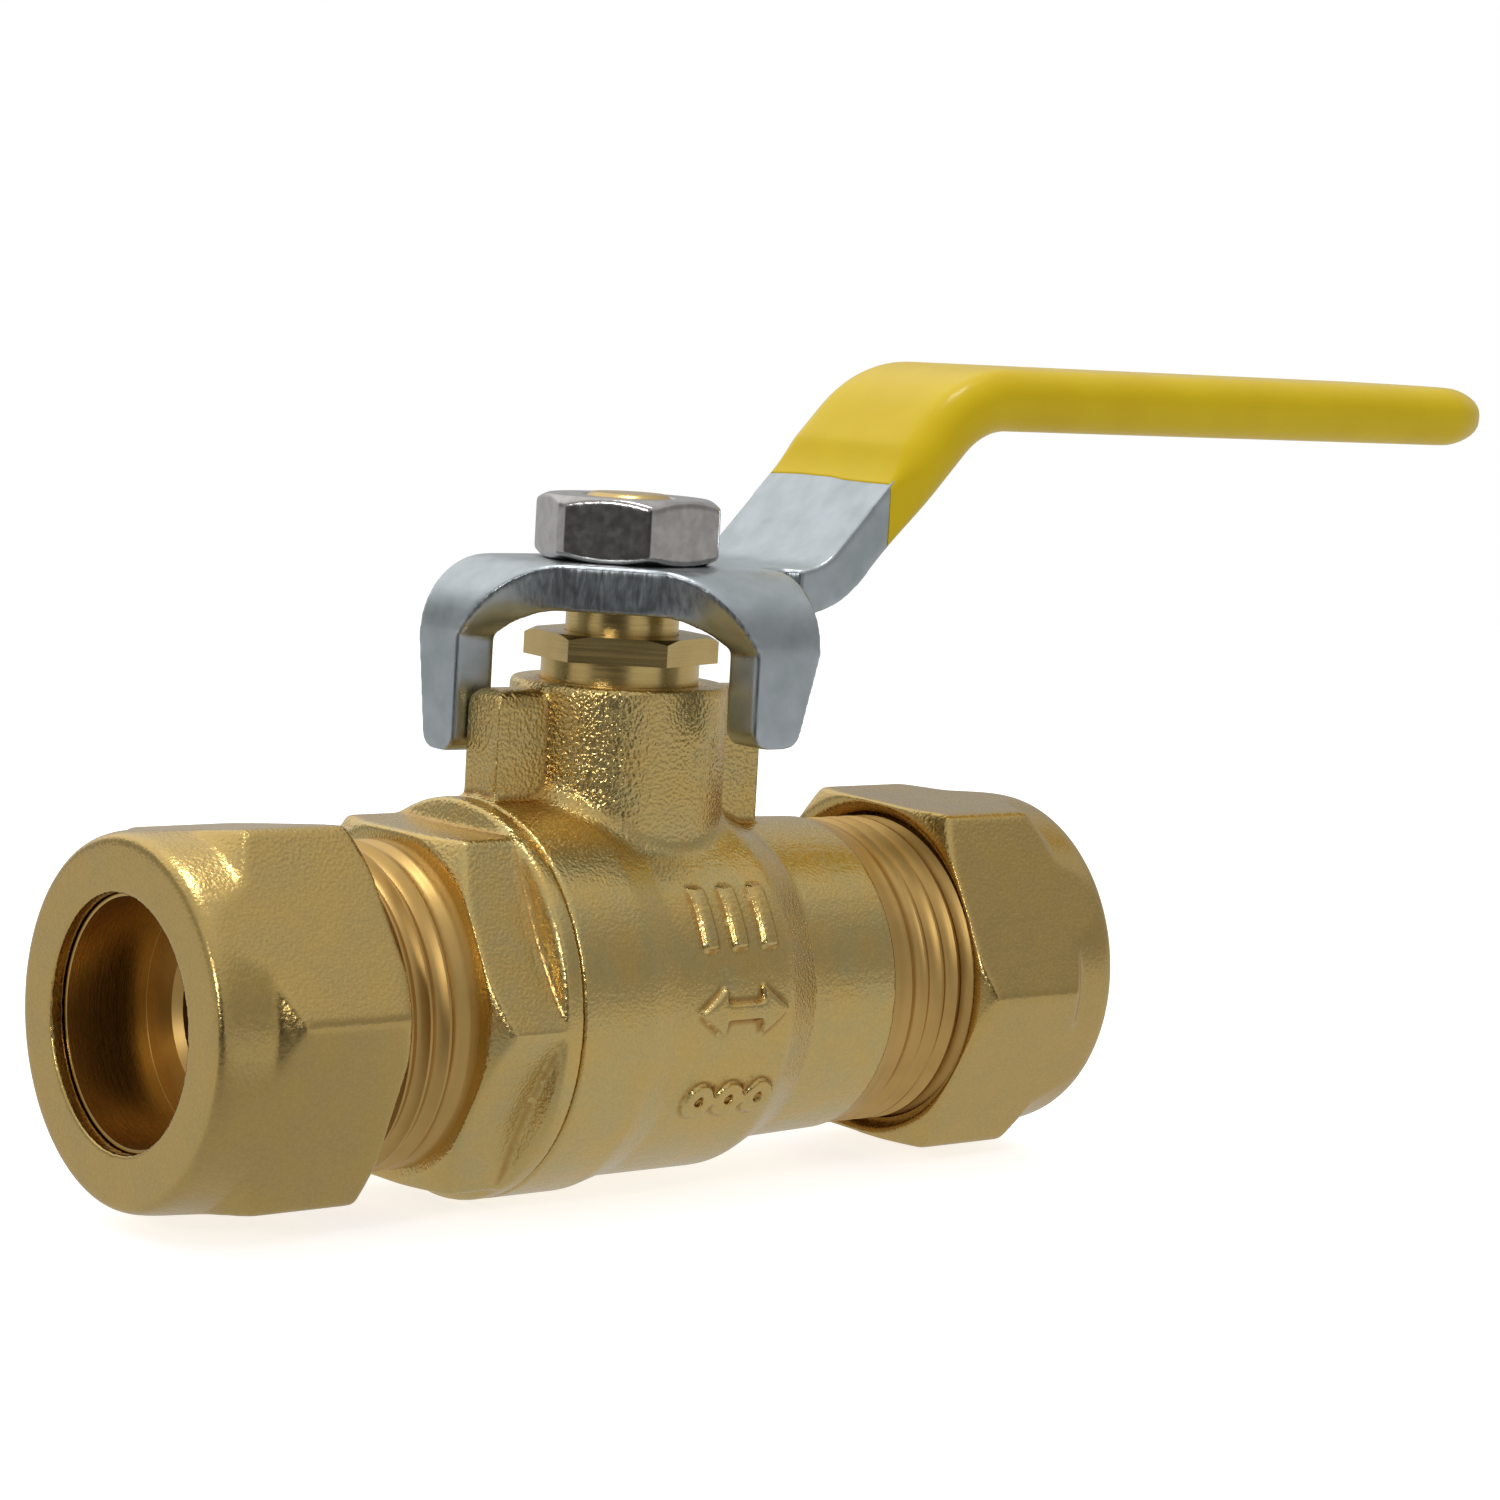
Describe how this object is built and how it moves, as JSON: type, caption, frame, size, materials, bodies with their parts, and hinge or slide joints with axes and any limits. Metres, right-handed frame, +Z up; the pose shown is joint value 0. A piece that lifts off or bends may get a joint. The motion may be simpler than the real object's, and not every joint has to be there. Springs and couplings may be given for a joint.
{
  "type": "lever ball valve",
  "caption": "Two-piece brass lever ball valve with a compression nut and olive at each end for 15 mm tube; the lever shuts it with a quarter turn.",
  "frame": {"origin": "centre of the ball, where the pipe axis crosses the stem axis", "axes": "+X along the pipe axis towards the lever's grip with the valve open; +Z up along the stem axis; +Y completes the right-handed frame"},
  "size_m": [0.1152, 0.0262, 0.0541],
  "materials": {
    "brass_forged": "satin, shot-blasted forging",
    "brass_forged_cap": "satin, shot-blasted forging with machined face",
    "brass_nut": "satin, shot-blasted forging",
    "brass_turned": "turned, semi-bright",
    "brass_olive": "turned, semi-bright",
    "chromed_ball": "polished chrome plate",
    "ptfe": "white, waxy",
    "rubber_seal": "black, matt",
    "zinc_steel": "bright zinc plate with a bluish cast",
    "stainless_nut": "dull stainless, machined",
    "yellow_vinyl": "dipped vinyl, semi-gloss"
  },
  "bodies": {
    "valve": {"valve_body": "brass_forged", "end_cap": "brass_forged_cap", "body_seal_ring": "ptfe", "seat_ring_left": "ptfe", "seat_ring_right": "ptfe", "stem_thrust_washer": "ptfe", "packing_ring_lower": "ptfe", "packing_ring_upper": "ptfe", "gland_nut": "brass_turned"},
    "handle": {"lever": "zinc_steel", "grip_sleeve": "yellow_vinyl", "lever_nut": "stainless_nut", "stem": "brass_turned", "stem_o_ring": "rubber_seal"},
    "ball": {"ball": "chromed_ball"},
    "left_olive": {"olive_left": "brass_olive"},
    "left_nut": {"compression_nut_left": "brass_nut"},
    "right_olive": {"olive_right": "brass_olive"},
    "right_nut": {"compression_nut_right": "brass_nut"}
  },
  "joints": [
    {"name": "lever_turn", "type": "hinge", "parent": "valve", "child": "handle", "pos_m": [0, 0, 0], "axis": [0, 0, 1], "range_deg": [-90, 0]},
    {"name": "ball_turn", "type": "hinge", "parent": "valve", "child": "ball", "pos_m": [0, 0, 0], "axis": [0, 0, 1], "range_deg": [-90, 0]},
    {"name": "left_nut_travel", "type": "slide", "parent": "valve", "child": "left_olive", "axis": [-1, 0, 0], "range_m": [0, 0.00706]},
    {"name": "left_nut_spin", "type": "hinge", "parent": "left_olive", "child": "left_nut", "pos_m": [-0.03, 0, 0], "axis": [-1, 0, 0], "range_deg": [0, 1800]},
    {"name": "right_nut_travel", "type": "slide", "parent": "valve", "child": "right_olive", "axis": [1, 0, 0], "range_m": [0, 0.00706]},
    {"name": "right_nut_spin", "type": "hinge", "parent": "right_olive", "child": "right_nut", "pos_m": [0.029, 0, 0], "axis": [1, 0, 0], "range_deg": [0, 1800]}
  ],
  "couplings": [
    {"joint": "ball_turn", "follows": "lever_turn", "ratio": 1},
    {"joint": "left_nut_travel", "follows": "left_nut_spin", "m_per_rad": 0.00022457},
    {"joint": "right_nut_travel", "follows": "right_nut_spin", "m_per_rad": 0.00022457}
  ]
}
